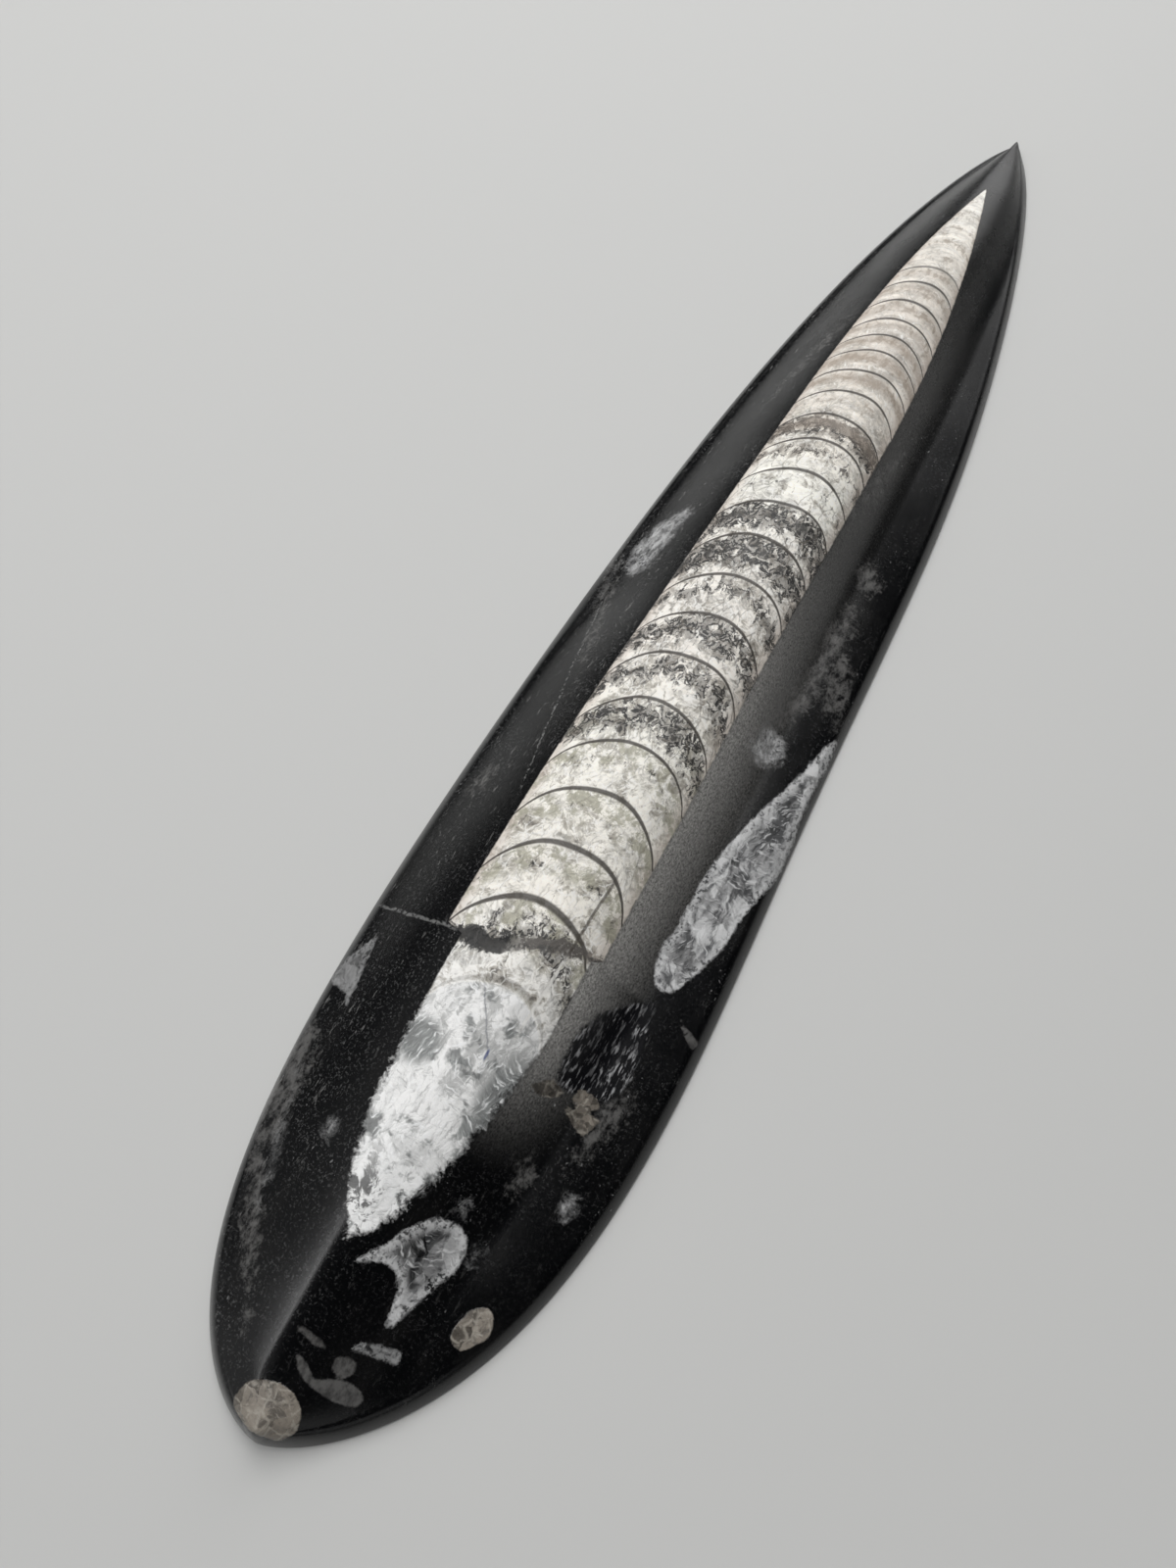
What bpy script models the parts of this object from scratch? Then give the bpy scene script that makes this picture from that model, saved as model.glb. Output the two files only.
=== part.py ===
"""Polished orthoceras fossil: one leaf-shaped slab of black limestone.

The slab lies on its flat sawn underside.  +Y runs from the blunt end to
the pointed end, +X is the slab's right-hand side, +Z is up.  A rounded
ridge runs the whole length and carries the straight, chambered shell of
the animal.  Shell, spar and rock are ground flush, so they are one solid.
"""

import bpy
import numpy as np

# ---------------------------------------------------------------- sizes
MM = 0.001

LENGTH = 254.0 * MM          # blunt end to point
CREST = 14.2 * MM            # ridge above the table, at its highest
END_CREST = 0.31             # crest at the blunt end, share of CREST
POINT_CREST = 0.20           # crest at the point, share of CREST
CREST_FULL = 0.34            # share of the length where the crest is full
CREST_FALL = 0.42            # share of the length where it starts down
RIM = 2.6 * MM               # top of the ground edge above the table
BEVEL = 1.9 * MM             # how far the ground edge leans in
ARRIS = 0.35 * MM            # small break where the edge meets the base
APRON = 2.3 * MM             # rise of the apron from rim to middle
SHELL_HALF = 9.9 * MM        # half breadth of the shell, 82 mm from the end
SHELL_TAPER = 0.026          # loss of half breadth along the shell
FOOT = 1.47                  # half breadth of the ridge over the shell's
FOOT_LIMIT = 0.80            # the ridge never takes more of the slab
BLUNT_FOOT = 11.0 * MM       # least half breadth of the ridge, blunt end
CREST_SHARP = 1.6            # roof-like crest near the blunt end
RIDGE_FULL = 3.3             # broad round back under the chambers
FLANK = 1.3                  # how softly the flank runs into the apron
CREST_DRIFT = 2.7 * MM       # the crest wanders left at the blunt end
FACET_EXTRA = 1.3 * MM       # broader hand-ground facet, left rim

END_CUT = 0.0002             # share of the length left off each end
STATIONS = 92                # slices from end to end
RIDGE_STEPS = 9              # strips from the crest to the ridge's foot
APRON_STEPS = 3              # strips from the foot to the rim
BEVEL_STEPS = 3              # strips down the ground edge


# ---------------------------------------------------------------- curves
def smooth(low, high, x):
    """Soft step from 0 at low to 1 at high."""
    t = np.clip((x - low) / (high - low), 0.0, 1.0)
    return t * t * (3.0 - 2.0 * t)


def left_half(u):
    """Half breadth of the plan on the left, u is 0 at the blunt end."""
    swell = np.exp(-2.581 * u + 3.626 * u ** 2 - 1.712 * u ** 3)
    return 98.0 * MM * u ** 0.569 * (1.0 - u) ** 0.684 * swell


def right_half(u):
    """Half breadth on the right, fuller near the blunt end."""
    swell = np.exp(-2.715 * u + 2.014 * u ** 2)
    wave = 1.29 * MM * np.sin(9.271 * u - 1.55) * 4.0 * u * (1.0 - u)
    return 143.1 * MM * u ** 0.705 * (1.0 - u) ** 0.756 * swell - wave


def crest_height(u):
    """Height of the ridge line above the table."""
    climb = np.sin(0.5 * np.pi * np.clip(u / CREST_FULL, 0.0, 1.0))
    rise = END_CREST + (1.0 - END_CREST) * climb
    t = np.clip((u - CREST_FALL) / (1.0 - CREST_FALL), 0.0, 1.0)
    return CREST * rise * (1.0 - (1.0 - POINT_CREST) * t ** 2.2)


def crest_offset(u):
    """Sideways place of the ridge line."""
    return -CREST_DRIFT * (1.0 - smooth(0.0, 0.62, u)) * smooth(0.0, 0.03, u)


def ridge_foot(u):
    """Half breadth of the ridge where it meets the apron."""
    shell = SHELL_HALF - SHELL_TAPER * (u - 0.323) * LENGTH
    wide = FOOT * shell
    narrow = FOOT_LIMIT * min(left_half(u), right_half(u))
    foot = (wide ** -6.0 + narrow ** -6.0) ** (-1.0 / 6.0)
    return max(foot, BLUNT_FOOT) if u < 0.5 else foot


def outline_points():
    """Points round the plan, close together at both ends."""
    t = np.linspace(0.0, 1.0, 3000)
    u = t - 0.155 * np.sin(2.0 * np.pi * t)
    u = np.clip(u, 1e-7, 1.0 - 1e-7)
    y = (u - 0.5) * LENGTH
    x = np.concatenate((-left_half(u), right_half(u)))
    return x, np.concatenate((y, y))


EDGE_X, EDGE_Y = outline_points()


def edge_distance(x, u):
    """Shortest way in plan from a point of the top to the outline."""
    y = (u - 0.5) * LENGTH
    return float(np.min(np.hypot(EDGE_X - x, EDGE_Y - y)))


def bevel_width(u, side):
    """How far in the ground edge leans; a broader facet on the left."""
    facet = FACET_EXTRA * np.exp(-((u - 0.455) / 0.035) ** 2) * (side < 0)
    return BEVEL + facet


def rim_height(u):
    """Top of the ground edge, lower towards the thin point."""
    return RIM * (1.0 - 0.25 * smooth(0.8, 1.0, u))


def inner_line(u, side):
    """Inner side of the ground edge, measured from the middle."""
    half = right_half(u) if side > 0 else left_half(u)
    step = 0.02 * min(u, 1.0 - u)
    reach = right_half if side > 0 else left_half
    lean = (reach(u + step) - reach(u - step)) / (2.0 * step * LENGTH)
    inner = half - bevel_width(u, side) * np.sqrt(1.0 + lean * lean)
    return max(inner, 0.35 * half)


def top_height(u, x):
    """Height of the polished top at a place x across the slab."""
    side = 1 if x > 0.0 else -1
    small = min(left_half(u), right_half(u))
    lift = APRON * min(1.0, small / (16.0 * MM))
    outer = max(inner_line(u, side), abs(x))
    apron = lift * (1.0 - (x / outer) ** 2)
    reach = abs(x - crest_offset(u)) / ridge_foot(u)
    power = CREST_SHARP + (RIDGE_FULL - CREST_SHARP) * smooth(0.04, 0.3, u)
    bump = (1.0 - min(reach, 1.0) ** power) ** FLANK
    peak = max(crest_height(u) - rim_height(u) - lift, 0.0)
    height = rim_height(u) + apron + peak * bump
    share = min(edge_distance(x, u) / bevel_width(u, side), 1.0)
    return ARRIS + (height - ARRIS) * np.sin(0.5 * np.pi * share) ** 0.8


# ---------------------------------------------------------------- solid
def side_row(u, side):
    """Points of one side of a slice, from the crest out to the base."""
    half = right_half(u) if side > 0 else left_half(u)
    inner = inner_line(u, side)
    shift = crest_offset(u) * side
    foot = min(ridge_foot(u) + shift, 0.9 * inner)
    row = []
    for step in range(1, RIDGE_STEPS + 1):
        row.append(shift + (foot - shift) * step / RIDGE_STEPS)
    for step in range(1, APRON_STEPS + 1):
        row.append(foot + (inner - foot) * step / APRON_STEPS)
    for step in range(1, BEVEL_STEPS + 1):
        turn = 0.5 * np.pi * step / BEVEL_STEPS
        row.append(inner + (half - inner) * np.sin(turn))
    points = []
    for across in row[:-1]:
        points.append((across * side, top_height(u, across * side)))
    points.append((half * side, ARRIS))
    points.append(((half - ARRIS * min(1.0, half / (4.0 * MM))) * side, 0.0))
    return points


def slice_points(u):
    """One slice across the slab, left base over the crest to right base."""
    middle = crest_offset(u)
    crest = [(middle, top_height(u, middle))]
    left = side_row(u, -1)
    right = side_row(u, 1)
    return left[::-1] + crest + right


def build_slab():
    """Skin the slices, lay the flat base and close both ends."""
    verts = []
    faces = []
    count = 0
    for i in range(STATIONS + 1):
        t = i / STATIONS
        t = t - 0.150 * np.sin(2.0 * np.pi * t)
        u = END_CUT + (1.0 - 2.0 * END_CUT) * t
        ring = slice_points(u)
        count = len(ring)
        y = (u - 0.5) * LENGTH
        for x, z in ring:
            verts.append((float(x), float(y), float(z)))
    for i in range(STATIONS):
        low = i * count
        high = low + count
        for j in range(count - 1):
            faces.append((low + j, low + j + 1, high + j + 1, high + j))
        faces.append((low + count - 1, low, high, high + count - 1))
    for start in (0, STATIONS * count):
        half = count // 2
        for j in range(half):
            a = start + j
            b = start + count - 1 - j
            loop = [a, b, b - 1, a + 1]
            if b - 1 == a + 1:
                loop = [a, b, a + 1]
            if start > 0:
                loop = loop[::-1]
            faces.append(tuple(loop))
    mesh = bpy.data.meshes.new("polished_stone")
    mesh.from_pydata(verts, [], faces)
    mesh.validate()
    mesh.shade_smooth()
    return mesh


for old in list(bpy.data.objects):
    bpy.data.objects.remove(old, do_unlink=True)

slab = bpy.data.objects.new("polished_stone", build_slab())
bpy.context.scene.collection.objects.link(slab)

# Black orthoceras limestone, ground and polished.
stone = bpy.data.materials.new("black_limestone")
stone.use_nodes = True
surface = stone.node_tree.nodes["Principled BSDF"]
surface.inputs["Base Color"].default_value = (0.018, 0.019, 0.021, 1.0)
surface.inputs["Roughness"].default_value = 0.28
slab.data.materials.append(stone)
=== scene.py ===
# %% [markdown]
# # A polished orthoceras fossil
# The object is one leaf-shaped slab of black limestone. A straight,
# chambered shell, a distant relative of the squid, lies along its ridge.
# The shell is filled with pale calcite and was ground flush with the rock,
# so everything is one solid, and its finish tells the rest.
# We load the plain CAD solid first: it fixes the size and the place of
# everything that follows, and its box is kept to check ourselves against.

# %% Load the solid that sets the size
import math
import bpy
import numpy as np
from mathutils import Matrix, Vector


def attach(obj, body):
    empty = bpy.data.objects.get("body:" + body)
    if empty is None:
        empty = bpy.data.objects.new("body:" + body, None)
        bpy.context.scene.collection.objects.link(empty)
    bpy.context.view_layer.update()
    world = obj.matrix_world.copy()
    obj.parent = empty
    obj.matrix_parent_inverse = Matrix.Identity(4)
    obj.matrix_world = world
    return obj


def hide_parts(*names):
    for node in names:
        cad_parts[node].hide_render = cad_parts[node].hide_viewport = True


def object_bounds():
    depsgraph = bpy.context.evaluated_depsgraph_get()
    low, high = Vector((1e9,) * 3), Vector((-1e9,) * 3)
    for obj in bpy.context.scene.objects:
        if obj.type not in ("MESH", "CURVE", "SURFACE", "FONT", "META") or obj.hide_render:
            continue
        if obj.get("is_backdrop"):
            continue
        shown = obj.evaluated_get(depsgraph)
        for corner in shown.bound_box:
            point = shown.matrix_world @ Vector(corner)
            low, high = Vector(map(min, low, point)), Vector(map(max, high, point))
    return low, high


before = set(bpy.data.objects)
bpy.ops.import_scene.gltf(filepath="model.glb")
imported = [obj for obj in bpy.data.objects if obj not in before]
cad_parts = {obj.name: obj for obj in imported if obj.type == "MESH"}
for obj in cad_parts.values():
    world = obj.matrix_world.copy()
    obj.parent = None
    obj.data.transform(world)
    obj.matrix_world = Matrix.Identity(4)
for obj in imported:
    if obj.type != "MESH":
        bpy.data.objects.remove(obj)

cad_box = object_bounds()
size = cad_box[1] - cad_box[0]
print("CAD box in mm:", [round(1000 * side, 1) for side in size])

# %% [markdown]
# ## Where we stand
# A long object looks longest from its own end. Here the eye is close above
# the blunt end and looks down along the slab, so the near end is large and
# the point runs away. The camera's turn is built from three plain rotations:
# heading, tilt away from straight down, and a hair of roll.

# %% Camera
WIDE, TALL = 1200, 1600
SENSOR, FOCAL_PIXELS = 36.0, 1125.0
EYE = (0.027117, -0.100072, 0.140955)
HEADING, TILT, ROLL = 28.89, 26.551, -0.173
camera_data = bpy.data.cameras.new("studio_camera")
camera = bpy.data.objects.new("studio_camera", camera_data)
bpy.context.scene.collection.objects.link(camera)
camera_data.sensor_width = SENSOR
camera_data.lens = SENSOR * FOCAL_PIXELS / TALL
camera_data.clip_start = 0.01
turn = Matrix.Identity(4)
for angle, axis in ((HEADING, "Z"), (TILT, "X"), (ROLL, "Z")):
    turn = turn @ Matrix.Rotation(math.radians(angle), 4, axis)
camera.matrix_world = Matrix.Translation(EYE) @ turn
bpy.context.scene.camera = camera
print("lens", camera_data.lens, "mm, picture", WIDE, "x", TALL)

# %% [markdown]
# ## The cut outline
# A lapidary saws the slab to a leaf, then grinds it by eye on a wheel. Each
# side of the plan starts like a power of the distance from one end and ends
# like another power at the other. Formulas keep the curve fair, where a list
# of points would leave small corners.

# %% Plan of the slab, in millimetres
LENGTH = 254.0


def smooth(low, high, x):
    """Soft step from 0 at low to 1 at high."""
    t = np.clip((x - low) / (high - low), 0.0, 1.0)
    return t * t * (3.0 - 2.0 * t)


def left_half(u):
    """Half breadth on the left; u runs from 0, blunt, to 1, pointed."""
    swell = np.exp(-2.581 * u + 3.626 * u ** 2 - 1.712 * u ** 3)
    return 98.0 * u ** 0.569 * (1.0 - u) ** 0.684 * swell


def right_half(u):
    """Half breadth on the right, fuller near the blunt end."""
    swell = np.exp(-2.715 * u + 2.014 * u ** 2)
    wave = 1.29 * np.sin(9.271 * u - 1.55) * 4.0 * u * (1.0 - u)
    return 143.1 * u ** 0.705 * (1.0 - u) ** 0.756 * swell - wave


middle = np.linspace(0.02, 0.98, 49)
breadth = left_half(middle) + right_half(middle)
print("widest", round(float(breadth.max()), 1), "mm")

# %% [markdown]
# ## The ridge
# The cutter leaves a rounded ridge over the shell, so that the fossil stands
# proud, and thins the stone towards its rim. The ridge line climbs from the
# blunt end, holds its height, and falls to the point.

# %% Heights along the slab
RIM, BEVEL, ARRIS = 2.6, 1.9, 0.35  # ground edge: top, lean, break below
FACET_EXTRA = 1.3  # broader facet on the left rim
CREST, CREST_DRIFT = 14.2, 2.7  # greatest height, wander to the left
END_CREST, POINT_CREST = 0.31, 0.20  # height at the ends, share of CREST
CREST_FULL, CREST_FALL = 0.34, 0.42  # where it is full, where it falls
SHELL_HALF, SHELL_TAPER = 9.9, 0.026  # half breadth of the shell, its loss
FOOT, FOOT_LIMIT = 1.47, 0.80  # ridge over shell, most of the slab
BLUNT_FOOT = 11.0  # least half ridge at the blunt end


def crest_height(u):
    """Height of the ridge line above the table."""
    climb = np.sin(0.5 * np.pi * np.clip(u / CREST_FULL, 0.0, 1.0))
    rise = END_CREST + (1.0 - END_CREST) * climb
    t = np.clip((u - CREST_FALL) / (1.0 - CREST_FALL), 0.0, 1.0)
    return CREST * rise * (1.0 - (1.0 - POINT_CREST) * t ** 2.2)


def crest_offset(u):
    """Sideways place of the ridge line."""
    return -CREST_DRIFT * (1.0 - smooth(0.0, 0.62, u)) * smooth(0.0, 0.03, u)


def ridge_foot(u):
    """Half breadth of the ridge where it runs out into the apron."""
    wide = FOOT * (SHELL_HALF - SHELL_TAPER * (u - 0.323) * LENGTH)
    narrow = FOOT_LIMIT * np.minimum(left_half(u), right_half(u))
    foot = (wide ** -6.0 + narrow ** -6.0) ** (-1.0 / 6.0)
    return np.where(u < 0.5, np.maximum(foot, BLUNT_FOOT), foot)


def rim_height(u):
    """Top of the ground edge, lower towards the thin point."""
    return RIM * (1.0 - 0.25 * smooth(0.8, 1.0, u))


def bevel_width(u, side):
    """How far the ground edge leans in; a broader facet on the left."""
    return BEVEL + FACET_EXTRA * np.exp(-((u - 0.455) / 0.035) ** 2) * (side < 0)


print("crest in mm:", [round(float(crest_height(v)), 1) for v in (0, 0.35, 1)])

# %% [markdown]
# ## How near is the edge?
# The rounded rim follows the true distance to the outline, not the distance
# straight across, or the blunt end would be pinched to a beak. The outline
# is stepped finely, and each point looks for the nearest piece of it. Only
# the last few millimetres matter, so the search is short.

# %% Distance to the outline
FAR_OFF, SEARCH = 9.0, 5.0  # greatest distance kept, reach looked at
steps = np.linspace(0.0, 1.0, 4000)
edge_u = np.clip(steps - 0.155 * np.sin(2.0 * np.pi * steps), 1e-7, 1 - 1e-7)
edge_y = (edge_u - 0.5) * LENGTH
edge_left = -left_half(edge_u)
edge_right = right_half(edge_u)


def edge_distance(x, y):
    """Shortest way in plan from the points x of one slice to the outline."""
    first, last = np.searchsorted(edge_y, (y - SEARCH, y + SEARCH))
    first, last = max(first - 2, 0), min(last + 2, len(edge_y))
    best = np.full(len(x), FAR_OFF)
    for edge in (edge_left, edge_right):
        ax, ay = edge[first:last - 1], edge_y[first:last - 1]
        dx, dy = np.diff(edge[first:last]), np.diff(edge_y[first:last])
        along = ((x[:, None] - ax) * dx + (y - ay) * dy) / (dx * dx + dy * dy)
        along = np.clip(along, 0.0, 1.0)
        gap = np.hypot(ax + along * dx - x[:, None], ay + along * dy - y)
        best = np.minimum(best, gap.min(axis=1))
    return best


print("edge is", edge_distance(np.array([0.0]), -126.0)[0].round(2), "mm away")

# %% [markdown]
# ## Ground by hand
# A stone that is held against a wheel is never quite even. Long shallow
# swells and short ripples catch the light in patches. They only take stone
# away, so the piece stays inside its solid.

# %% Marks of the wheel
SWELL, RIPPLE = 0.035, 0.012


def wheel_marks(x, y):
    """Depth, in mm, that the wheel took below the ideal form."""
    swell = np.sin(0.21 * y + 0.13 * x + 0.7) * np.sin(0.083 * y - 0.31 * x)
    ripple = np.sin(0.47 * y + 0.9 * np.sin(0.1 * x)) * np.sin(0.37 * x + 1.0)
    return SWELL * (1.0 + swell) + RIPPLE * (1.0 + ripple)


print("the wheel takes", round(2 * (SWELL + RIPPLE), 3), "mm at most")

# %% [markdown]
# ## Across the ridge
# The crest is sharp like a roof near the blunt end and round under the
# chambers. The left falls in one slope from the crest to the rim; the right
# ends in a foot and keeps a nearly flat apron. Both are one curve with a
# power at the crest and a fade at the foot, so they can differ without a seam.

# %% The top of the stone
APRON, APRON_FULL = 2.3, 16.0  # its rise, half breadth where full
ROOF_POWER, ROOF_FADE = 1.22, 1.35  # sharp crest at the blunt end
LEFT_POWER, LEFT_FADE = 0.78, 0.10  # added on the left of the round back
RIGHT_POWER, RIGHT_FADE = 1.88, 0.65  # added on its right


def ridge_bump(u, x, inner):
    """The ridge at places x: 1 on its crest, 0 at its foot and beyond."""
    round_back = smooth(0.05, 0.27, u)
    thin_end = smooth(0.50, 0.75, u)
    left = x < crest_offset(u)
    wider = np.where(left, 0.32, 0.14 + 0.16 * thin_end)
    foot = ridge_foot(u) * (1.0 + wider * round_back)
    foot = np.where(left, foot + round_back * (0.99 * inner - foot), foot)
    reach = np.minimum(np.abs(x - crest_offset(u)) / foot, 1.0)
    rounder = np.where(left, LEFT_POWER, RIGHT_POWER - 0.7 * thin_end)
    softer = np.where(left, LEFT_FADE, RIGHT_FADE + 0.2 * thin_end)
    power = ROOF_POWER + rounder * round_back
    return (1.0 - reach ** power) ** (ROOF_FADE + softer * round_back)


def top_height(u, x):
    """Height of the polished top at places x across the slice at u."""
    side = np.where(x > 0.0, 1, -1)
    half = np.where(x > 0.0, right_half(u), left_half(u))
    step = 0.02 * min(u, 1.0 - u)
    lean_right, lean_left = ((edge(u + step) - edge(u - step)) / (2 * step * LENGTH)
                             for edge in (right_half, left_half))
    lean = np.where(x > 0.0, lean_right, lean_left)
    bevel = bevel_width(u, side)
    inner = np.maximum(half - bevel * np.sqrt(1.0 + lean ** 2), 0.35 * half)
    lift = APRON * min(1.0, min(left_half(u), right_half(u)) / APRON_FULL)
    apron = lift * (1.0 - (x / np.maximum(inner, np.abs(x))) ** 2)
    peak = max(crest_height(u) - rim_height(u) - lift, 0.0)
    height = rim_height(u) + apron + peak * ridge_bump(u, x, inner)
    share = np.minimum(edge_distance(x, (u - 0.5) * LENGTH) / bevel, 1.0)
    height = height - wheel_marks(x, (u - 0.5) * LENGTH) * share
    return ARRIS + (height - ARRIS) * np.sin(0.5 * np.pi * share) ** 0.8


print("height at mid length", top_height(0.5, np.array([0.0])).round(2), "mm")

# %% [markdown]
# ## One skin of many slices
# The slab is built like a loaf: slices across it, each a ring of points over
# the top and back along the flat base. Slices crowd at both ends and points
# crowd round the rim, where the form bends most. This gives an even mesh
# that a sculpted or remeshed block would not, and keeps the sawn base flat.

# %% Slice the slab
STATIONS, END_CUT = 500, 0.0002  # slices, share left off each end
TOP_STEPS, EDGE_STEPS, BASE_STEPS = 45, 10, 20


def across(u, side):
    """Places across one side of a slice, from the crest to the rim."""
    half = float(right_half(u) if side > 0 else left_half(u))
    reach = max(half - float(bevel_width(u, side)), 0.5 * half)
    shift = float(crest_offset(u)) * side
    ridge = np.linspace(shift, reach, TOP_STEPS)[1:]
    turn = np.sin(0.5 * np.pi * np.linspace(0.0, 1.0, EDGE_STEPS))[1:]
    return np.concatenate((ridge, reach + (half - reach) * turn))


def slice_ring(u):
    """One slice: left rim over the crest to the right rim, then the base."""
    left, right = -across(u, -1)[::-1], across(u, 1)
    x = np.concatenate((left, [float(crest_offset(u))], right))
    z = top_height(u, x)
    z[0] = z[-1] = ARRIS
    inset_left = ARRIS * min(1.0, -x[0] / 4.0)
    inset_right = ARRIS * min(1.0, x[-1] / 4.0)
    base = np.linspace(x[-1] - inset_right, x[0] + inset_left, BASE_STEPS)
    ring_x = np.concatenate((x, base))
    ring_z = np.concatenate((z, np.zeros(BASE_STEPS)))
    return ring_x, ring_z


slices = []
for i in range(STATIONS + 1):
    t = i / STATIONS
    t = t - 0.150 * math.sin(2.0 * math.pi * t)
    u = END_CUT + (1.0 - 2.0 * END_CUT) * t
    x, z = slice_ring(u)
    slices.append(np.stack((x, np.full(len(x), (u - 0.5) * LENGTH), z), axis=1))
ring = len(slices[0])
print(len(slices), "slices of", ring, "points")

# %% [markdown]
# ## Skin it
# Neighbouring slices are joined with quads and both tiny ends are closed.
# The top is shaded smooth, but the arris above the sawn base is a real edge,
# so it is marked sharp.

# %% Mesh of the stone
MM = 0.001
points = np.concatenate(slices) * MM
faces = []
for i in range(STATIONS):
    for j in range(ring):
        k = (j + 1) % ring
        low, high = i * ring, (i + 1) * ring
        faces.append((low + j, low + k, high + k, high + j))
faces.append(tuple(range(ring))[::-1])
faces.append(tuple(STATIONS * ring + j for j in range(ring)))
mesh = bpy.data.meshes.new("orthoceras_slab")
mesh.from_pydata(points.tolist(), [], faces)
mesh.validate()
mesh.shade_smooth()
mesh.set_sharp_from_angle(angle=math.radians(38.0))
stone = bpy.data.objects.new("orthoceras_slab", mesh)
bpy.context.scene.collection.objects.link(stone)
print("triangles:", sum(len(p.vertices) - 2 for p in mesh.polygons))

# %% [markdown]
# ## Mapping the stone
# Before any colour, every point of the skin is told where it lies: how deep
# inside the shell, how many chamber walls are below it, how far it is from
# each fossil fragment. These smooth distances are worked out by formula and
# carried by the mesh, which keeps the shader short enough for the renderer.

# %% Let the mesh carry a distance
PX, PY, PZ = (points * 1000.0).T


def carry(name, values):
    """Store one number for every point of the skin."""
    made = mesh.attributes.new(name, "FLOAT", "POINT")
    made.data.foreach_set("value", np.asarray(values, np.float32))
    print(name, "from", round(float(values.min()), 1), "to",
          round(float(values.max()), 1))


carry("height", PZ)

# %% [markdown]
# ## The shell's outline
# The shell is a long cone. A fault snapped it near the blunt end and shifted
# the broken piece sideways, so each side of the fault has its own width and
# middle line. The fault itself climbs gently from left to right.

# %% Shell against rock
FAULT_AT, FAULT_CLIMB = -68.7, 4.9
SHELL_ENDS = (-104.8, 103.2)
FAR_HALF, FAR_TAPER, NEAR_HALF = 9.65, 0.021, 7.75  # past the fault, before it
fault = FAULT_AT + FAULT_CLIMB * smooth(-6.0, 8.0, PX)
beyond = smooth(-0.15, 0.15, PY - fault)
tip = 1.0 - np.clip((PY - 30.0) / 73.5, 0.0, 1.0) ** 2.4
far_half = (FAR_HALF - FAR_TAPER * np.maximum(PY + 40.0, 0.0)) * tip
blunt = np.clip((-72.0 - PY) / 32.3, 0.0, 1.0) ** 2.2
near_half = NEAR_HALF * (1.0 - blunt) ** 0.6
half = np.maximum(near_half + beyond * (far_half - near_half), 0.05)
far_line = -0.9 + 0.9 * smooth(-30.0, 40.0, PY) + 0.2 * smooth(20.0, 60.0, PY)
near_line = -0.1 - 1.1 * smooth(72.0, 101.0, -PY)
off = PX - (near_line + beyond * (far_line - near_line))
ends = np.minimum(PY - SHELL_ENDS[0], SHELL_ENDS[1] - PY)
carry("inside_shell", np.minimum(half - np.abs(off), ends))
carry("past_fault", PY - fault)
carry("aside", np.clip(off / half, -1.0, 1.0))
carry("off_wall", off - half)

# %% [markdown]
# ## Chamber walls
# The animal sealed off its shell behind it, wall after wall, as it grew.
# Each wall is a shallow bowl; ground along the shell it shows as an arc that
# bulges towards the point. We unbend the arcs first, then count how many
# walls lie below each point. The fraction of that count says how far up its
# chamber the point is. The count runs on to the tip, past the last wall that
# is drawn. The fan spreads from the blunt end, for the blades there.

# %% Walls and chambers
WALLS = (-72.05, -61.3, -52.9, -44.7, -36.4, -29.3, -20.7, -13.3, -5.4, 2.7,
         10.3, 17.4, 24.9, 30.8, 36.8, 42.7, 48.0, 52.3, 57.2, 62.8, 68.8, 74.0)
BEFORE_WALLS, AFTER_WALLS = -80.0, (79.0, 84.0, 89.0, 95.0, 101.0, 110.0)
bow = 0.65 - 0.23 * smooth(-60.0, 30.0, PY)
square = np.clip(off / half, -1.0, 1.0) ** 2
drop = half * bow * 1.36 * (1.0 - np.sqrt(1.0 - 0.93 * square))
sway = 0.10 * np.sin(0.55 * PX + 0.21 * PY) + 0.15 * np.sin(0.3 * PX - 0.4 * PY)
unbent_y = PY + drop - 0.1 * off + sway
known = [BEFORE_WALLS, *WALLS, *AFTER_WALLS]
carry("walls_below", np.interp(unbent_y, known, np.arange(len(known))))
carry("unbent", unbent_y)
fan = (PX + 4.0) / np.maximum(PY + 114.0, 5.0) * 30.0
carry("fan", np.clip(fan, -60.0, 60.0))
print(len(WALLS), "chamber walls")

# %% [markdown]
# ## Fragments round the shell
# Round the shell lie bits of other creatures, cut through by the grinding.
# Each is drawn by a few corner points and rounded into a smooth outline. The
# mesh keeps the distance to it, negative inside, because a distance can be
# nibbled, blurred or shrunk later. A speck is just an oval.

# %% Outlines and ovals
def rounded(corners):
    """A closed outline through the corners, bent smoothly at each."""
    p = np.array(corners, float)
    before, after, beyond_it = (np.roll(p, k, 0) for k in (1, -1, -2))
    parts = []
    for t in (0.0, 0.25, 0.5, 0.75):
        bend = 2 * before - 5 * p + 4 * after - beyond_it
        twist = 3 * p - before - 3 * after + beyond_it
        parts.append(p + 0.5 * ((after - before) * t + bend * t ** 2 + twist * t ** 3))
    return np.stack(parts, 1).reshape(-1, 2)


def outline(*corners, crisp=False):
    """Distance in mm to a closed outline, negative inside it."""
    line = np.array(corners, float) if crisp else rounded(corners)
    gap = np.full(len(PX), FAR_OFF)
    inside = np.zeros(len(PX), bool)
    for (ax, ay), (bx, by) in zip(line, np.roll(line, -1, 0)):
        dx, dy = bx - ax, by - ay
        along = ((PX - ax) * dx + (PY - ay) * dy) / (dx * dx + dy * dy)
        along = np.clip(along, 0.0, 1.0)
        gap = np.minimum(gap, np.hypot(ax + along * dx - PX, ay + along * dy - PY))
        if by != ay:
            spans = (ay > PY) != (by > PY)
            inside ^= spans & (PX < ax + (PY - ay) / (by - ay) * dx)
    return np.where(inside, -gap, gap)


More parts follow.
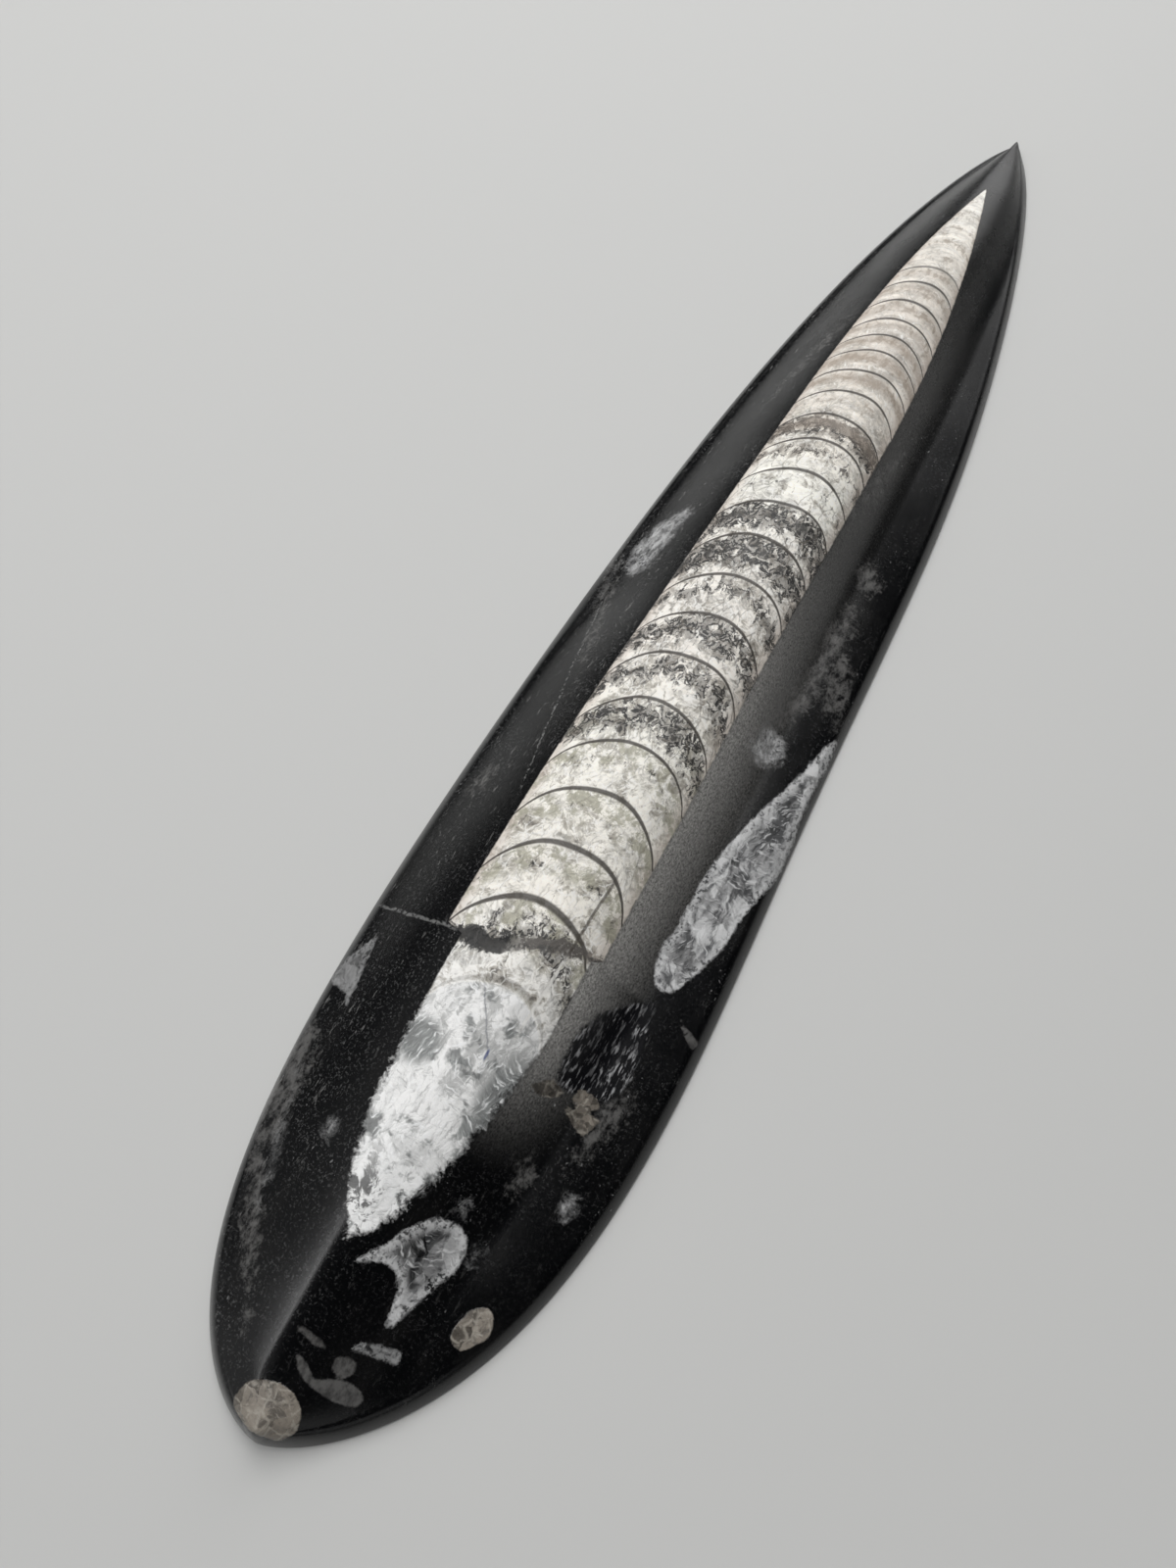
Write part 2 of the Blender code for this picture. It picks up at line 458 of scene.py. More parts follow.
def oval(x, y, wide, tall, lean=0.0):
    """Distance in mm outside an oval whose top leans right by lean degrees."""
    c, s = math.cos(math.radians(lean)), math.sin(math.radians(lean))
    a = (c * (PX - x) - s * (PY - y)) / wide
    b = (s * (PX - x) + c * (PY - y)) / tall
    return np.minimum((np.hypot(a, b) - 1.0) * min(wide, tall), FAR_OFF)


def group(*members):
    """Several shapes joined into one."""
    return np.minimum.reduce(members)


print("outlines and ovals can be laid")

# %% [markdown]
# Grey spar fills a wedge with a round bite out of it near the blunt end, a
# short rod below it, a long lens on the right and a splinter on the left rim.
# Softer patches look frayed, because their crystals fade into the rock.

# %% Grey spar
wedge = outline((0.6, -106.2), (2.3, -103.6), (3.9, -100.6), (6.0, -98.1),
                (8.9, -97.5), (10.3, -98.7), (10.7, -100.5), (10.3, -102.7),
                (9.2, -105.4), (8.2, -108.0), (7.3, -110.3), (6.5, -108.4),
                (6.2, -106.9), (5.6, -105.7), (4.7, -104.9), (3.3, -104.9),
                (1.9, -105.6))
lens = outline((15.1, -60.9), (13.8, -56.7), (14.3, -53.1), (14.3, -46.9),
               (14.2, -45.4), (15.2, -38.9), (16.7, -32.6), (18.4, -27.1),
               (21.7, -15.5), (21.9, -27.1), (22.5, -33.1), (22.8, -39.9),
               (21.3, -46.1), (20.7, -52.4), (19.3, -57.0), (17.6, -60.7))
splinter = outline((-22.6, -80.0), (-20.0, -80.7), (-18.6, -80.9), (-17.5, -82.5),
                   (-18.2, -77.5), (-19.2, -72.6), (-21.6, -76.5), crisp=True)
rod = outline((4.8, -113.9), (5.6, -112.6), (7.6, -112.0), (9.7, -111.7),
              (10.0, -112.7), (8.3, -113.4), (6.2, -113.6), crisp=True)
carry("spar", group(wedge, lens, splinter, rod))
drop_spar = outline((-18.1, -5.2), (-19.3, 0.1), (-17.6, 5.6), (-13.9, 7.6),
                    (-14.7, -1.9), (-15.4, -5.0))
tuft = outline((11.5, -25.2), (12.9, -20.3), (15.9, -22.4), (14.6, -25.5))
carry("soft_spar", group(drop_spar, tuft, oval(-10.2, -95.6, 0.5, 0.6),
                         oval(18.5, -89.5, 0.6, 0.8), oval(8.4, -95.8, 0.35, 0.4),
                         oval(11.9, -99.4, 0.4, 0.5),
                         oval(-15.7, -99.6, 0.3, 2.1, -20.0)))

# %% [markdown]
# Two lumps of warm beige spar sit on the rim at the blunt end, and three
# broken plates lie beside a dark, ribbed patch on the right.

# %% Beige spar, plates and the ribbed patch
end_lump = outline((-3.8, -124.3), (-3.3, -122.0), (-1.4, -120.7), (0.9, -120.3),
                   (2.9, -121.1), (3.7, -122.3), (3.8, -123.6), (2.6, -125.2),
                   (0.5, -125.6), (-2.1, -125.4))
rim_lump = outline((13.6, -107.9), (13.7, -105.8), (14.6, -103.9), (15.9, -103.2),
                   (16.9, -104.0), (17.3, -105.6), (16.3, -107.3), (15.2, -108.4))
carry("beige_spar", group(end_lump, rim_lump))
plates = (((8.2, -80.3), (10.0, -78.0), (11.8, -78.6), (11.4, -79.9), (9.6, -80.6)),
          ((12.7, -78.7), (13.5, -76.9), (15.8, -77.2), (16.4, -78.3), (15.1, -78.9)),
          ((12.2, -79.9), (14.9, -79.1), (17.2, -79.2), (16.1, -82.0), (13.9, -80.9)))
carry("plates", group(*[outline(*plate, crisp=True) for plate in plates]))
carry("ribbed", outline((10.2, -71.2), (12.2, -66.8), (16.0, -63.2), (16.9, -65.4),
                        (17.9, -72.3), (17.3, -75.9), (15.6, -77.2), (11.8, -78.3),
                        (10.2, -77.2)))

# %% [markdown]
# The rest are ghosts: a curved bit of shell near the blunt end, smudges along
# both sides and a few streaks.

# %% Ghosts
crescent = outline((0.0, -117.0), (1.7, -117.4), (2.9, -118.2), (4.8, -117.3),
                   (6.8, -116.8), (8.4, -117.5), (7.9, -118.7), (5.9, -119.2),
                   (3.9, -119.1), (2.0, -118.9), (0.7, -118.1))
carry("pale_ghost", group(
    crescent, outline((3.8, -115.8), (4.4, -114.9), (5.8, -114.7), (6.3, -115.6),
                      (5.6, -116.8), (4.4, -116.7)),
    oval(0.4, -114.9, 0.4, 1.7, 95.0),
    outline((19.6, -63.0), (23.4, -64.8), (23.0, -65.8), (21.0, -64.7), crisp=True)))
smudges = ((-19.6, -94.0, 2.6, 7.5, -12.0), (-13.5, -108.0, 1.0, 6.0, -34.0),
           (17.8, -79.6, 1.2, 4.2, 14.0), (12.0, -89.0, 0.9, 1.6),
           (13.6, -14.5, 1.7, 5.8, 18.0), (15.0, -3.0, 1.6, 7.4),
           (17.8, -7.5, 1.8, 6.0, -24.0), (14.8, 11.5, 2.0, 2.2),
           (9.7, 26.0, 0.5, 5.0, 4.0), (-10.2, 49.5, 0.7, 6.6, 12.0),
           (-18.8, -12.0, 0.8, 9.0, -16.0), (-18.8, -47.0, 1.0, 2.0))
carry("smudge", group(*[oval(*smudge) for smudge in smudges]))

# %% [markdown]
# ## Painted sheen on the right flank
# The wheel could not reach the steep right flank of the ridge, so it was
# finished with paper by hand and its polish is duller. Its grey band is a
# painted sheen: the soft reflection along the flank is put into the stone's
# colour. The band is palest against the shell, fades out to the polish, and
# is faint towards the point.

# %% Painted sheen band on the right flank
aside_shell = off - half
# painted sheen: the band of the right flank where a grey reflection is put into the colour
flank = smooth(-0.6, 0.3, aside_shell) * (1.0 - smooth(-1.0, 8.5, aside_shell)) ** 1.3
flank = flank * smooth(-92.0, -68.0, PY) * (1.0 - 0.85 * smooth(-34.0, 16.0, PY))
flank = flank * (1.0 - 0.6 * smooth(45.0, 80.0, PY)) * smooth(0.4, 1.2, PZ)
carry("flank_sheen", flank)

# %% [markdown]
# ## A small language for stone
# The finish is worked out from those distances. Node links are slow to read,
# so a small class wraps a socket and lets us write sums: each operator adds
# the Math node that does it. Noise, cells and ramps come from one method
# that adds any shader node.

# %% A value that changes over the stone
material = bpy.data.materials.new("black_limestone_polished")
material.use_nodes = True
tree = material.node_tree
tree.nodes.clear()


class Tone:
    """Wraps a node's output; sums on it add Math nodes."""

    def __init__(self, socket):
        self.socket = socket

    @classmethod
    def node(cls, kind, settings=None, sockets=None, out=0):
        """Add one node: its settings first, then its sockets."""
        made = tree.nodes.new("ShaderNode" + kind)
        for name, value in (settings or {}).items():
            if name == "stops":
                set_stops(made.color_ramp, value)
            else:
                setattr(made, name, value)
        for name, value in (sockets or {}).items():
            if isinstance(value, Tone):
                tree.links.new(value.socket, made.inputs[name])
            else:
                made.inputs[name].default_value = value
        return cls(made.outputs[out])

    def other(self, out):
        """Another output of the same node."""
        return Tone(self.socket.node.outputs[out])

    def math(self, operation, *rest, swap=False):
        """A Math node on this value and the rest, mirrored on swap."""
        terms = [self, *rest]
        if swap:
            terms = terms[::-1]
        return Tone.node("Math", {"operation": operation}, dict(enumerate(terms)))

    def __add__(self, other):
        return self.math("ADD", other)

    def __sub__(self, other):
        return self.math("SUBTRACT", other)

    def __rsub__(self, other):
        return self.math("SUBTRACT", other, swap=True)

    def __mul__(self, other):
        return self.math("MULTIPLY", other)

    def __truediv__(self, other):
        return self.math("DIVIDE", other)

    def __rtruediv__(self, other):
        return self.math("DIVIDE", other, swap=True)

    def __pow__(self, other):
        return self.math("POWER", other)

    def __neg__(self):
        return self.math("MULTIPLY", -1.0)

    def __abs__(self):
        return self.math("ABSOLUTE")

    __radd__, __rmul__ = __add__, __mul__


def set_stops(ramp, stops):
    """Stops are (position, grey or colour)."""
    while len(ramp.elements) > 1:
        ramp.elements.remove(ramp.elements[-1])
    for i, (position, value) in enumerate(stops):
        made = ramp.elements[0] if i == 0 else ramp.elements.new(position)
        made.position = position
        made.color = (*value, 1.0) if isinstance(value, tuple) else (value,) * 3 + (1.0,)


print("Tone is ready")

# %% [markdown]
# ## Everyday helpers
# A few short words make the recipes readable: a soft step, the larger and
# smaller of two values, a blend of two colours, and grain from noise or from
# crystal cells. Places and colours are three numbers, for Vector Math.

# %% Helpers for recipes
def carried(name):
    """A distance that the mesh carries."""
    return Tone.node("Attribute", {"attribute_name": name}, out=2)


def soft(low, high, x):
    """Soft step of a value, 0 at low and 1 at high."""
    return Tone.node("MapRange", {"interpolation_type": "SMOOTHSTEP"},
                     {"Value": x, "From Min": low, "From Max": high})


def larger(a, b):
    return a.math("MAXIMUM", b)


def smaller(a, b):
    return a.math("MINIMUM", b)


def tint(share, under, over):
    """Colour under, covered by colour over where share is 1."""
    if isinstance(under, tuple):
        under = (*under, 1.0)
    if isinstance(over, tuple):
        over = (*over, 1.0)
    return Tone.node("Mix", {"data_type": "RGBA"},
                     {0: share, 6: under, 7: over}, out=2)


def vector(operation, *terms, out=0, **named):
    """A Vector Math node on places or colours."""
    return Tone.node("VectorMath", {"operation": operation},
                     {**dict(enumerate(terms)), **named}, out)


def shade(colour, amount):
    """Colour made darker or lighter by a value around 1."""
    return vector("SCALE", colour, Scale=amount)


def parts(value, kind="XYZ"):
    """The first two numbers of a place, or of a colour if kind is Color."""
    first = Tone.node("Separate" + kind, {}, {0: value})
    return first, first.other(1)


def joined(x, y, z):
    """A place made of three numbers."""
    return Tone.node("CombineXYZ", {}, {0: x, 1: y, 2: z})


def grain(place, fineness, detail=3.0, rough=0.5, twist=0.0):
    """Cloudy noise between 0 and 1, fineness in waves per millimetre."""
    return Tone.node("TexNoise", {}, {
        "Vector": place, "Scale": fineness, "Detail": detail,
        "Roughness": rough, "Distortion": twist})


def cells(place, fineness, feature="F1"):
    """Crystal cells, fineness in cells per millimetre."""
    return Tone.node("TexVoronoi", {"feature": feature},
                     {"Vector": place, "Scale": fineness})


print("helpers ready")

# %% [markdown]
# ## Grain of the stone
# Every texture is laid by the stone's own coordinates in millimetres: X
# across, Y along, Z up, so it runs through the stone as the real one does.
# A pushed copy of the place makes straight lines look grown, and a drawn one
# makes grain run along the slab. A fine nibble and coarser spines are shared.

# %% Places and shared grains
HALF = (0.5, 0.5, 0.5)
place = shade(Tone.node("TexCoord").other("Object"), 1000.0)
X, Y = parts(place)


def drawn(start, x, y):
    """The place, squeezed or stretched before a grain is laid on it."""
    return vector("MULTIPLY", start, (x, y, 1.0))


def away(x, y, squeeze=1.0):
    """Distance in mm from one spot of the plan, Y counting less if squeezed."""
    return ((X - x) * (X - x) + squeeze * (Y - y) * (Y - y)) ** 0.5


def pushed(start, fineness, reach):
    """The place, pushed about by up to reach millimetres."""
    swing = vector("SUBTRACT", grain(start, fineness, 2.0).other(1), HALF)
    return vector("MULTIPLY_ADD", swing, (2 * reach, 2 * reach, 0.0), start)


nibble = grain(place, 1.6, 4.0, 0.65)
spines = grain(place, 0.5, 5.0, 0.7, 0.6)
top = soft(0.4, 1.2, carried("height"))
print("nodes so far:", len(tree.nodes))

# %% [markdown]
# ## The edge of the shell
# Beyond the fault the shell wall is crisp. The body chamber at the blunt end
# has lost its wall, and its crystals reach raggedly into the rock. The count
# of walls is split into the chamber's number and how far up it we are.

# %% Shell mask and chamber count
wild = soft(-72.0, -86.0, Y)
ragged = (0.3 + 1.3 * wild) * (nibble - 0.5) + 3.6 * wild * (spines - 0.52)
shell = soft(-0.10, 0.14 + 0.8 * wild, carried("inside_shell") + ragged) * top
past = soft(-0.2, 0.2, carried("past_fault"))
aside = carried("aside")
count = carried("walls_below")
chamber = count.math("FLOOR")
up = count - chamber
chamber_length = larger(8.3 - 0.035 * larger(Y + 20.0, 0.0), 4.6)
from_wall = smaller(up, 1.0 - up) * chamber_length
unbent = carried("unbent")
print("shell drawn with", len(tree.nodes), "nodes")

# %% [markdown]
# ## Calcite crystals
# Calcite breaks along set planes, so each crystal shows fine parallel
# streaks, which turn from one crystal to the next. A cell pattern gives the
# crystals; each cell's own chance number turns the place before the streaks
# are drawn, which no single stretched noise can do. In the far, narrow
# chambers the crystals are small, so contrast is quiet there.

# %% Crystals and their streaks
FULL_TURN = 6.283
crumb = pushed(place, 0.9, 0.45)
spar = cells(crumb, 0.36)
face_tone, chance = parts(spar.other("Color"), "Color")
fine_tone, _ = parts(cells(crumb, 1.5).other("Color"), "Color")
CX, CY = parts(crumb)
turned = chance * FULL_TURN
cosine, sine = turned.math("COSINE"), turned.math("SINE")
streaks = grain(joined(2.6 * (cosine * CX + sine * CY),
                       0.45 * (cosine * CY - sine * CX), 9.0 * face_tone),
                1.0, 4.0, 0.62)
glint = soft(0.54, 0.68, streaks)
cloud = grain(place, 0.16, 4.0, 0.6)
dust = grain(place, 2.6, 5.0, 0.7)
marble = grain(crumb, 0.36, 8.0, 0.72, 0.5)
blocks = cells(crumb, 0.62, "DISTANCE_TO_EDGE")
far_part = soft(8.0, 45.0, Y)
quiet = 1.0 - 0.6 * far_part
print("crystals ready, nodes:", len(tree.nodes))

# %% [markdown]
# Clean calcite is nearly white. The colour changes slowly along the shell,
# thin layers follow the curve of the walls, and a coarse marbling with sharp
# grey edges shows where one crystal passes into the next.

# %% Calcite base colour
BROWN_VEIL, DARK_VEIL = (0.36, 0.33, 0.28), (0.11, 0.10, 0.088)
CLEAN_FACE, WALL_TAN = (1.0, 0.985, 0.95), (0.58, 0.49, 0.42)
along = (Y + 0.5 * LENGTH) / LENGTH
pale = Tone.node("ValToRGB", {"stops": [
    (0.08, (0.98, 0.98, 0.96)), (0.20, (0.98, 0.97, 0.94)),
    (0.26, (0.97, 0.93, 0.85)), (0.36, (0.98, 0.95, 0.87)),
    (0.42, (0.96, 0.91, 0.84)), (0.52, (0.96, 0.92, 0.85)),
    (0.555, (1.00, 0.98, 0.90)), (0.60, (0.88, 0.83, 0.75)),
    (0.70, (0.75, 0.69, 0.62)), (0.82, (0.91, 0.86, 0.78)),
    (0.92, (0.96, 0.94, 0.88))]}, {0: along})
layers = grain(joined(X * 0.13, unbent * 0.75, 0.0), 1.0, 4.0, 0.6)
layered = 0.25 + 0.75 * soft(-5.0, 30.0, Y)
light = 0.97 + 0.34 * quiet * (face_tone - 0.5) + 0.30 * quiet * (fine_tone - 0.5)
light = light + 1.25 * quiet * (streaks - 0.5) + 0.25 * (dust - 0.5)
light = smaller(light + 1.5 * (cloud - 0.5), 1.04)
calcite = shade(pale, light + 1.3 * layered * (layers - 0.5))
veil = soft(0.50, 0.41, marble)
calcite = tint(0.78 * veil * quiet, calcite, BROWN_VEIL)
calcite = tint(0.80 * soft(0.40, 0.34, marble) * quiet, calcite, DARK_VEIL)
cleft = (1.0 - soft(0.0, 0.10, blocks)) * soft(0.42, 0.55, spines) * quiet
calcite = tint(0.75 * larger(glint, cleft), calcite, CLEAN_FACE)
wall_side = soft(0.78, 1.0, abs(aside)) * past
calcite = tint(0.55 * wall_side, calcite, WALL_TAN)
print("calcite laid")

# %% [markdown]
# ## Clay, stain and dendrites
# Crystals grew inwards from both walls of a chamber, in columns like teeth,
# and met along a seam. What was left over, black mineral or brown clay,
# gathered there and crept back between the teeth. A short ramp, read by
# chamber number, says how much each chamber got.

# %% Teeth and the seam between them
tooth_place = joined(CX * 0.80, unbent * 0.26 + 0.4 * cloud, chamber * 3.7)
teeth = grain(tooth_place, 1.15, 5.0, 0.68, 0.3)
tooth_gap = cells(tooth_place, 0.75, "DISTANCE_TO_EDGE")
toothed = soft(-42.0, -36.0, Y)
seam_at = up + 0.40 * (grain(place, 0.20, 2.0) - 0.5)
off_seam = abs(seam_at - 0.64) * chamber_length
RAMP_CHAMBERS = 26.0
SHARES = (0.50, 0.55, 0.20, 0.25, 0.25, 0.84, 0.68, 0.88, 0.60, 1.0, 1.0,
          0.20, 0.42, 0.92, 0.40, 0.50, 0.52, 0.50, 0.46, 0.46, 0.46, 0.46, 0.4)
stops = [(i / RAMP_CHAMBERS, value) for i, value in enumerate(SHARES)]
black_share = Tone.node("ValToRGB", {"stops": stops},
                        {0: (chamber + 0.02) / RAMP_CHAMBERS})
fern = grain(pushed(place, 1.6, 0.3), 0.62, 5.0, 0.62, 0.8)
residue = 5.2 * (teeth - 0.5) + 5.0 * (fern - 0.5) + 2.5 * black_share - 1.60
residue = residue - 0.46 * off_seam
threads = soft(0.070, 0.020, abs(fern - 0.5))
print("seams found")

# %% [markdown]
# Olive clay clouds the upper part of the first chambers. Brown clay follows
# the seam. Black mineral, the strongest, grew as fine branching threads, so it
# is drawn where a noise passes through its middle value, which gives thin
# winding lines. In the far chambers only a brown core marks the seam.

# %% Stains in the chambers
OLIVE, BROWN_CLAY = (0.52, 0.50, 0.39), (0.36, 0.30, 0.24)
FRINGE_GREY, MINERAL_BLACK = (0.15, 0.145, 0.136), (0.012, 0.012, 0.013)
CORE_BROWN = (0.42, 0.345, 0.28)
olive = soft(0.46, 0.57, grain(pushed(place, 0.6, 0.8), 0.42, 7.0, 0.72))
olive = olive * soft(-76.0, -66.0, Y) * (1.0 - soft(-38.0, -28.0, Y))
olive = olive * soft(0.25, 0.6, up)
calcite = tint(0.85 * olive, calcite, shade(OLIVE, 0.45 + 1.1 * (streaks - 0.2)))
browned = soft(-0.95, 0.25, residue) * (0.25 + 0.75 * soft(0.0, 34.0, Y))
calcite = tint(0.75 * browned, calcite, BROWN_CLAY)
in_chambers = soft(-74.0, -70.0, Y) * (1.0 - soft(90.0, 100.0, Y))
inky = in_chambers * soft(34.0, 26.0, Y)
fringe = soft(-1.0, 0.6, residue)
dendrite = larger(threads * soft(-1.0, -0.3, residue),
                  0.85 * soft(0.70, 1.5, residue))
calcite = tint(0.60 * fringe * inky, calcite, FRINGE_GREY)
calcite = tint(0.94 * dendrite * inky, calcite, MINERAL_BLACK)
core = soft(2.4, 0.2, off_seam + 1.2 * (spines - 0.5)) * far_part * in_chambers
calcite = tint(0.60 * core * soft(0.35, 0.55, black_share), calcite, CORE_BROWN)
print("stains laid")

# %% [markdown]
# ## Wall lines and hairs
# The walls themselves are thin dark brown lines, thickest at the top of the
# arc and near the fault. Fine dark gaps run between the teeth, and a few
# hairs hang from the walls into the chamber below.

# %% Lines in the shell
HAIR_BROWN, WEB_BROWN = (0.10, 0.09, 0.08), (0.16, 0.14, 0.115)
hairs = soft(0.58, 0.66, teeth) * soft(0.62, 0.95, up) * toothed * quiet
calcite = tint(0.45 * hairs, calcite, HAIR_BROWN)
web = (1.0 - soft(0.0, 0.06, tooth_gap)) * soft(0.40, 0.56, spines)
web = web * (0.55 + 0.45 * toothed) * (1.0 - 0.8 * far_part)
calcite = tint(0.65 * web * in_chambers, calcite, WEB_BROWN)
wall_wide = (0.16 + 0.15 * (1.0 - aside * aside)) * (1.0 + 0.4 * soft(-38.0, -52.0, Y))
wall_line = 1.0 - soft(wall_wide * 0.55, wall_wide * 1.35, from_wall)
wall_seen = 0.30 + 0.70 * soft(-72.6, -69.0, Y) - 0.6 * soft(70.0, 80.0, Y)
wall_line = wall_line * wall_seen * soft(76.0, 74.5, unbent)
wall_line = wall_line * soft(-74.5, -73.5, unbent)
print("walls ready")

# %% [markdown]
# ## The body chamber
# The last and largest chamber held the animal. It filled with long blades of
# calcite that spread like a sheaf from the blunt end, some milk white, some
# clear and grey, with a little dark rock between them. A grain laid along
# the carried fan gives the sheaf.

# %% Blades in the body chamber
DULL_MILK, MILK, WHITE = (0.56, 0.56, 0.55), (1.0, 0.995, 0.98), (1.0, 1.0, 1.0)
PAINTED_HIGHLIGHT_MILK, MILK_VEIL = (1.0, 1.0, 0.99), (0.42, 0.42, 0.41)
CLEAR_GREY, STREAK_GREY = (0.30, 0.315, 0.31), (0.36, 0.365, 0.36)
POCKET_BLACK, WALL_BROWN = (0.06, 0.06, 0.06), (0.040, 0.033, 0.027)
blade_place = joined(carried("fan") + 2.2 * (spines - 0.5), CY * 0.16, face_tone)
sheaf = grain(blade_place, 0.75, 5.0, 0.68, 0.2)
left_clear = soft(3.8, 1.8, away(-5.6, -82.3))
right_clear = soft(3.6, 1.4, away(6.2, -84.0, 0.22))
shred = soft(0.525, 0.61, grain(crumb, 0.20, 4.0, 0.6))
clear_here = larger(shred, larger(left_clear, right_clear))
milk = tint(soft(0.40, 0.54, sheaf), DULL_MILK, MILK)
# painted highlight: blades nearest the blunt end are whitened, standing in for the lamp's
# highlight there
milk = tint(0.80 * soft(-88.0, -95.0, Y), milk, PAINTED_HIGHLIGHT_MILK)
milk = tint(0.32 * veil, milk, MILK_VEIL)
milk = tint(0.88 * clear_here, milk, shade(CLEAR_GREY, 3.2 * (streaks - 0.28)))
milk = tint(0.50 * soft(0.44, 0.34, streaks), milk, STREAK_GREY)
milk = shade(milk, smaller(0.94 + 0.24 * face_tone + 0.30 * (dust - 0.5), 1.0))
milk = tint(0.85 * glint, milk, WHITE)
pocket = soft(0.47, 0.41, marble) * soft(-93.0, -99.0, Y)
milk = tint(0.85 * pocket, milk, POCKET_BLACK)
body_chamber = soft(-72.4, -72.9, unbent) * soft(1.5, 4.5, -Y - 69.0 + aside)
calcite = tint(body_chamber, calcite, milk)
calcite = tint(0.90 * wall_line, calcite, WALL_BROWN)
print("body chamber filled")

# %% [markdown]
# ## The rock itself
# Black limestone is lime mud full of carbon. Polished, it is almost black
# with a cold cast, clouded with brown-grey and peppered with pale shell dust,
# more of it on the left. Near the left rim short grey streaks run along its
# length: partly scratches, partly a painted sheen of the left flank.

# %% Black limestone
COLD_BLACK, CLOUD_BLACK = (0.0010, 0.0011, 0.0014), (0.0045, 0.0043, 0.0042)
FLOUR_GREY, SPECK_GREY = (0.10, 0.10, 0.10), (0.26, 0.26, 0.26)
DASH_AND_SHEEN_GREY = (0.20, 0.197, 0.192)
rock_cloud = grain(drawn(place, 1.0, 0.45), 0.11, 5.0, 0.65)
rock = tint(soft(0.45, 0.75, rock_cloud), COLD_BLACK, CLOUD_BLACK)
pepper = cells(drawn(crumb, 1.0, 0.6), 1.7)
pepper_pick, _ = parts(pepper.other("Color"), "Color")
pepper_size = 0.07 + 0.22 * pepper_pick ** 5.0
speck = soft(pepper_size, pepper_size * 0.4, pepper)
where = grain(drawn(place, 1.0, 0.6), 0.12, 4.0, 0.65)
thick = soft(0.40, 0.62, where)
flour = soft(0.52, 0.66, dust) * (0.22 + 0.45 * thick)
flour = flour * (0.35 + 0.65 * soft(4.0, -8.0, X))
rock = tint(flour, rock, FLOUR_GREY)
rock = tint(0.80 * speck * soft(0.49, 0.63, where), rock, SPECK_GREY)
# partly painted sheen: streaks along the left rim, strengthened to lighten the left flank
# as its sheen does
dashes_and_sheen = soft(0.60, 0.70, grain(drawn(place, 1.7, 0.42), 1.0, 4.0, 0.7))
dashes_and_sheen = dashes_and_sheen * (0.4 + 0.6 * thick) * (0.15 + 0.85 * soft(-8.0, -15.0, X))
rock = tint(0.85 * dashes_and_sheen, rock, DASH_AND_SHEEN_GREY)
print("rock laid")

# %% [markdown]
# The grey of the right flank is a painted sheen, broken up by a coarse grain so
# that it looks gritty.

# %% Painted sheen
PAINTED_SHEEN_GREY = (0.52, 0.507, 0.483)
flank_sheen = carried("flank_sheen")
gloss_and_sheen_grain = grain(drawn(place, 1.5, 0.8), 3.2, 4.0, 0.8)
sheen_speckle = larger(0.42 + 3.2 * (gloss_and_sheen_grain - 0.42), 0.12)
# painted sheen: grey put into the colour of the right flank
rock = tint(smaller(flank_sheen * sheen_speckle, 1.0), rock, PAINTED_SHEEN_GREY)
print("flank sanded")

# %% [markdown]
# ## Crystal textures of the remains
# The grey spar is milky and streaked with a bright crust, and dull where it
# is thin. The beige spar has warm blocks with pale seams, and the ribbed patch
# is hatched with fine white combs. The masks come in the next step.

# %% Spar and combs
GREY_DEEP, GREY_MILK, CRUST = (0.060, 0.061, 0.063), (0.46,) * 3, (0.66,) * 3
WARM, WARM_DEEP, SEAM = (0.215, 0.19, 0.16), (0.085, 0.076, 0.066), (0.40, 0.37, 0.32)
swirl = grain(drawn(crumb, 1.0, 0.45), 0.42, 5.0, 0.62, 0.9)
crust = soft(-1.7, -0.3, carried("spar")) * soft(0.40, 0.54, nibble)
grey = tint(soft(0.42, 0.60, swirl), GREY_DEEP, GREY_MILK)
grey = shade(grey, 0.40 + 0.8 * face_tone + 0.9 * (streaks - 0.4)
             - 0.36 * soft(-90.0, -95.0, Y))
grey = tint(0.75 * larger(glint, crust), grey, CRUST)
dull = larger(soft(-109.0, -111.0, Y), soft(-62.0, -70.0, Y) * soft(-12.0, -16.0, X))
grey = shade(grey, 1.0 - 0.55 * dull)
beige = shade(WARM, 0.35 + 0.8 * face_tone + 0.9 * (dust - 0.4))
beige = tint(0.75 * soft(0.51, 0.43, marble), beige, WARM_DEEP)
pale_seam = (1.0 - soft(0.02, 0.13, blocks)) * soft(0.42, 0.52, spines)
beige = tint(0.65 * pale_seam, beige, SEAM)
comb = grain(drawn(place, 3.0, 0.7), 1.0, 3.0, 0.6)
comb = soft(0.50, 0.66, comb) * (0.25 + 0.75 * soft(0.44, 0.60, swirl))
print("textures ready")

# %% [markdown]
# ## Put the remains into the rock
# A mask is the carried distance, nibbled by the shared grains so that no rim
# is smooth. Ghosts are a thin film of shell, so a cloud thins them too. The
# faintest go in first, and the spar goes over everything.

# %% Remains over rock
GHOST_GREY, RIB_BLACK = (0.125, 0.122, 0.118), (0.004, 0.004, 0.005)
COMB_WHITE = (0.34, 0.34, 0.345)


def laid(name, bite, blur=0.08):
    """The mask of a fragment, its rim nibbled by bite mm."""
    grown = carried(name) + bite * (spines - 0.5) + 0.7 * bite * (nibble - 0.5)
    return soft(blur, -blur, grown) * top


